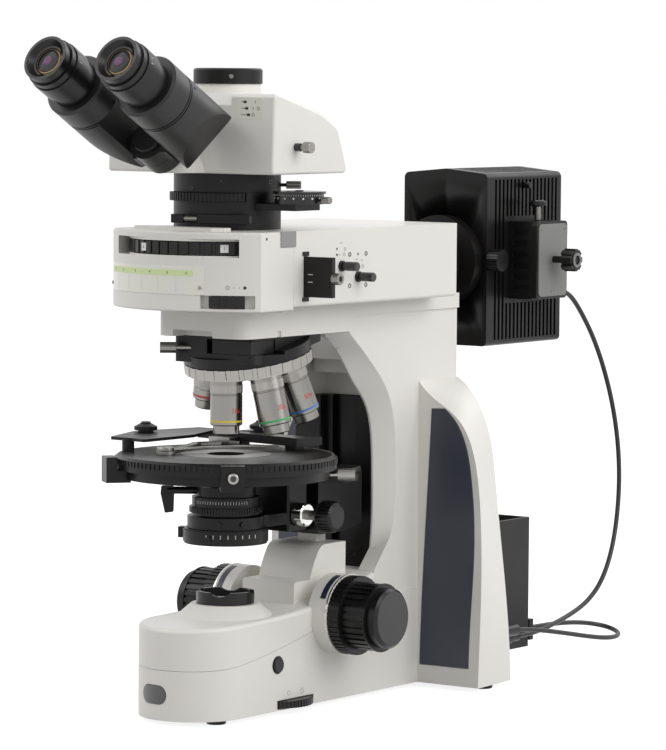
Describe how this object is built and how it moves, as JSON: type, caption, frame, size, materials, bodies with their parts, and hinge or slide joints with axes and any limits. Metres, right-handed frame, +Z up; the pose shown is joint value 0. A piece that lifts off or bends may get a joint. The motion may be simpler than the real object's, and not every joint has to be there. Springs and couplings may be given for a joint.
{
  "type": "polarizing microscope",
  "caption": "upright polarizing microscope with rotating round stage, tilted nosepiece, binocular head with photo port, side lamp house and external supply",
  "frame": {"origin": "on the table under the middle of the instrument, cables left out", "axes": "+X to the right of the user, +Y away from the user, +Z up; the optical axis stands at X 0, Y -0.1173"},
  "size_m": [0.2209, 0.6874, 0.5432],
  "materials": {
    "white_paint": "satin",
    "black_paint": "satin",
    "navy_paint": "satin",
    "black_plastic": "matte",
    "gloss_black": "gloss",
    "grey_plastic": "matte",
    "steel": "satin",
    "rubber": "matte",
    "glass": "clear",
    "light_grey": "matte"
  },
  "bodies": {
    "stand": {"base_lower_shell": "white_paint", "base_upper_shell": "white_paint", "rubber_feet": "rubber", "stand_column": "white_paint", "side_panels": "navy_paint", "guide_plate": "black_paint", "stand_head": "white_paint", "illuminator_housing": "white_paint", "illuminator_front": "white_paint", "nosepiece_mount": "black_paint", "intermediate_tube": "black_paint", "head_housing": "white_paint", "photo_port": "black_paint", "clear_windows": "glass", "lamp_house": "black_paint", "lamp_socket": "black_plastic", "power_supply_box": "black_paint", "lamp_cable": "rubber", "supply_cable": "rubber", "cable_plugs": "black_plastic"},
    "stage_carrier": {"stage_bracket": "black_paint"},
    "stage": {"stage_disc": "black_paint", "holder_rail": "black_paint"},
    "nosepiece": {"nosepiece_turret": "steel", "objectives": "steel"},
    "condenser": {"condenser_bracket": "black_paint"},
    "analyzer": {"analyzer_slab": "black_paint"},
    "carriage": {"holder_carriage": "steel"},
    "stage_lock_knob": {"stage_lock_knob": "steel"},
    "holder_finger": {"holder_finger": "steel"},
    "holder_knob_left": {"holder_knob_left": "black_plastic"},
    "holder_knob_right": {"holder_knob_right": "black_plastic"},
    "aperture_ring": {"aperture_ring": "black_paint"},
    "polarizer_ring": {"polarizer_ring": "black_paint"},
    "condenser_lever": {"condenser_lever": "black_paint"},
    "condenser_knob": {"condenser_knob": "black_plastic"},
    "nosepiece_lock_screw": {"nosepiece_lock_screw": "steel"},
    "slot_slider": {"slot_slider": "black_paint"},
    "filter_wheel": {"filter_wheel": "black_plastic"},
    "shutter_slider": {"shutter_slider": "black_plastic"},
    "filter_slider": {"filter_slider": "black_paint"},
    "upper_pull_rod": {"upper_pull_rod": "black_plastic"},
    "lower_pull_rod": {"lower_pull_rod": "black_plastic"},
    "bertrand_wheel": {"bertrand_wheel": "black_paint"},
    "analyzer_dial": {"analyzer_dial": "black_paint"},
    "compensator_slider": {"compensator_slider": "black_paint"},
    "beam_splitter_rod": {"beam_splitter_rod": "steel"},
    "left_tube": {"left_tube": "black_paint"},
    "right_tube": {"right_tube": "black_paint"},
    "left_eyepiece": {"left_eyepiece": "black_plastic"},
    "right_eyepiece": {"right_eyepiece": "black_plastic"},
    "light_button": {"light_button": "black_plastic"},
    "dimmer_wheel": {"dimmer_wheel": "black_plastic"},
    "field_diaphragm_ring": {"field_diaphragm_ring": "black_plastic"},
    "coarse_knobs": {"coarse_knobs": "black_plastic"},
    "fine_knobs": {"fine_knobs": "black_plastic"},
    "tension_ring": {"tension_ring": "black_plastic"},
    "stop_ring": {"stop_ring": "black_plastic"},
    "collector_knob": {"collector_knob": "black_plastic"},
    "star_knob": {"star_knob": "black_plastic"}
  },
  "joints": [
    {"name": "stage_height", "type": "slide", "parent": "stand", "child": "stage_carrier", "axis": [0, 0, 1], "range_m": [-0.002, 0.006]},
    {"name": "stage_rotation", "type": "hinge", "parent": "stage_carrier", "child": "stage", "pos_m": [0, -0.1173, 0.2], "axis": [0, 0, 1], "continuous": true},
    {"name": "stage_lock", "type": "hinge", "parent": "stage_carrier", "child": "stage_lock_knob", "pos_m": [0.04897, -0.08263, 0.194], "axis": [0.8161, 0.5779, 0], "range_deg": [-90, 90]},
    {"name": "holder_travel", "type": "slide", "parent": "stage", "child": "carriage", "axis": [0.9903, -0.1392, 0], "range_m": [-0.01, 0.01]},
    {"name": "finger_swing", "type": "hinge", "parent": "carriage", "child": "holder_finger", "pos_m": [-0.034, -0.1533, 0.213], "axis": [0, 0, 1], "range_deg": [-10, 5]},
    {"name": "holder_x_knob", "type": "hinge", "parent": "stage", "child": "holder_knob_right", "pos_m": [-0.033, -0.0253, 0.222], "axis": [0, 0, 1], "range_deg": [-120, 120]},
    {"name": "holder_y_knob", "type": "hinge", "parent": "stage", "child": "holder_knob_left", "pos_m": [-0.099, -0.0953, 0.222], "axis": [0, 0, 1], "continuous": true},
    {"name": "condenser_height", "type": "slide", "parent": "stage_carrier", "child": "condenser", "axis": [0, 0, 1], "range_m": [-0.01, 0.0015]},
    {"name": "condenser_height_knob", "type": "hinge", "parent": "condenser", "child": "condenser_knob", "pos_m": [0, -0.0603, 0.1585], "axis": [1, 0, 0], "range_deg": [-95, 20]},
    {"name": "aperture", "type": "hinge", "parent": "condenser", "child": "aperture_ring", "pos_m": [0, -0.1173, 0.169], "axis": [0, 0, 1], "range_deg": [-45, 45]},
    {"name": "polarizer", "type": "hinge", "parent": "condenser", "child": "polarizer_ring", "pos_m": [0, -0.1173, 0.145], "axis": [0, 0, 1], "continuous": true},
    {"name": "swing_lens", "type": "hinge", "parent": "condenser", "child": "condenser_lever", "pos_m": [-0.01959, -0.13117, 0.1803], "axis": [-0.8161, -0.5779, 0], "range_deg": [0, 90]},
    {"name": "nosepiece_turn", "type": "hinge", "parent": "stand", "child": "nosepiece", "pos_m": [0, -0.086, 0.27545], "axis": [0, -0.2079, 0.9781], "continuous": true},
    {"name": "nosepiece_lock", "type": "hinge", "parent": "stand", "child": "nosepiece_lock_screw", "pos_m": [-0.025, -0.1363, 0.2955], "axis": [-0.8161, -0.5779, 0], "range_deg": [-90, 90]},
    {"name": "blank_slide", "type": "slide", "parent": "stand", "child": "slot_slider", "axis": [1, 0, 0], "range_m": [0, 0.02]},
    {"name": "filter_select", "type": "hinge", "parent": "stand", "child": "filter_wheel", "pos_m": [0, -0.1288, 0.3785], "axis": [0, 0, 1], "continuous": true},
    {"name": "shutter", "type": "hinge", "parent": "stand", "child": "shutter_slider", "pos_m": [0, -0.0893, 0.337], "axis": [0, 0, 1], "range_deg": [-3.4, 3.4]},
    {"name": "side_filter", "type": "slide", "parent": "stand", "child": "filter_slider", "axis": [1, 0, 0], "range_m": [0, 0.03]},
    {"name": "upper_rod", "type": "slide", "parent": "stand", "child": "upper_pull_rod", "axis": [1, 0, 0], "range_m": [0, 0.012]},
    {"name": "lower_rod", "type": "slide", "parent": "stand", "child": "lower_pull_rod", "axis": [1, 0, 0], "range_m": [0, 0.012]},
    {"name": "conoscopy_lens", "type": "hinge", "parent": "stand", "child": "bertrand_wheel", "pos_m": [-0.0015, -0.1257, 0.4175], "axis": [0, 0, 1], "continuous": true},
    {"name": "analyzer_slide", "type": "slide", "parent": "stand", "child": "analyzer", "axis": [1, 0, 0], "range_m": [0, 0.03]},
    {"name": "analyzer_turn", "type": "hinge", "parent": "analyzer", "child": "analyzer_dial", "pos_m": [0.071, -0.1173, 0.418], "axis": [0, 0, 1], "range_deg": [-90, 90]},
    {"name": "compensator", "type": "slide", "parent": "stand", "child": "compensator_slider", "axis": [0.9397, 0.342, 0], "range_m": [-0.008, 0.008]},
    {"name": "beam_splitter", "type": "slide", "parent": "stand", "child": "beam_splitter_rod", "axis": [1, 0, 0], "range_m": [-0.008, 0.008]},
    {"name": "eye_width", "type": "hinge", "parent": "stand", "child": "left_tube", "pos_m": [0, -0.19252, 0.45021], "axis": [0, -0.8746, 0.4848], "range_deg": [-23, 19]},
    {"name": "eye_width_right", "type": "hinge", "parent": "stand", "child": "right_tube", "pos_m": [0, -0.19252, 0.45021], "axis": [0, -0.8746, 0.4848], "range_deg": [-19, 23]},
    {"name": "left_eye_focus", "type": "hinge", "parent": "left_tube", "child": "left_eyepiece", "pos_m": [-0.0347, -0.1867, 0.4607], "axis": [0, -0.8746, 0.4848], "range_deg": [-120, 120]},
    {"name": "right_eye_focus", "type": "hinge", "parent": "right_tube", "child": "right_eyepiece", "pos_m": [0.0347, -0.1867, 0.4607], "axis": [0, -0.8746, 0.4848], "range_deg": [-120, 120]},
    {"name": "light_switch", "type": "slide", "parent": "stand", "child": "light_button", "axis": [-1, 0, 0], "range_m": [0, 0.0015], "stiffness_N_per_m": 800},
    {"name": "dimmer", "type": "hinge", "parent": "stand", "child": "dimmer_wheel", "pos_m": [0.0205, -0.0813, 0.0085], "axis": [0, 0, 1], "range_deg": [-135, 135]},
    {"name": "field_diaphragm", "type": "hinge", "parent": "stand", "child": "field_diaphragm_ring", "pos_m": [0, -0.1173, 0.094], "axis": [0, 0, 1], "range_deg": [-60, 60]},
    {"name": "coarse_focus", "type": "hinge", "parent": "stand", "child": "coarse_knobs", "pos_m": [0, -0.0267, 0.0751], "axis": [1, 0, 0], "range_deg": [-25, 60]},
    {"name": "fine_focus", "type": "hinge", "parent": "stand", "child": "fine_knobs", "pos_m": [0, -0.0267, 0.0751], "axis": [1, 0, 0], "continuous": true},
    {"name": "focus_tension", "type": "hinge", "parent": "stand", "child": "tension_ring", "pos_m": [0.064, -0.0267, 0.0751], "axis": [1, 0, 0], "range_deg": [-60, 60]},
    {"name": "focus_stop", "type": "hinge", "parent": "stand", "child": "stop_ring", "pos_m": [-0.064, -0.0267, 0.0751], "axis": [1, 0, 0], "range_deg": [-60, 60]},
    {"name": "collector", "type": "hinge", "parent": "stand", "child": "collector_knob", "pos_m": [0.048, 0.2033, 0.356], "axis": [1, 0, 0], "range_deg": [-120, 120]},
    {"name": "socket_clamp", "type": "hinge", "parent": "stand", "child": "star_knob", "pos_m": [0.08, 0.2567, 0.356], "axis": [1, 0, 0], "continuous": true}
  ],
  "couplings": [
    {"joint": "holder_x_knob", "follows": "holder_travel", "rad_per_m": 200},
    {"joint": "condenser_height_knob", "follows": "condenser_height", "rad_per_m": 159},
    {"joint": "coarse_focus", "follows": "stage_height", "rad_per_m": 166.7},
    {"joint": "eye_width_right", "follows": "eye_width", "ratio": -1}
  ]
}
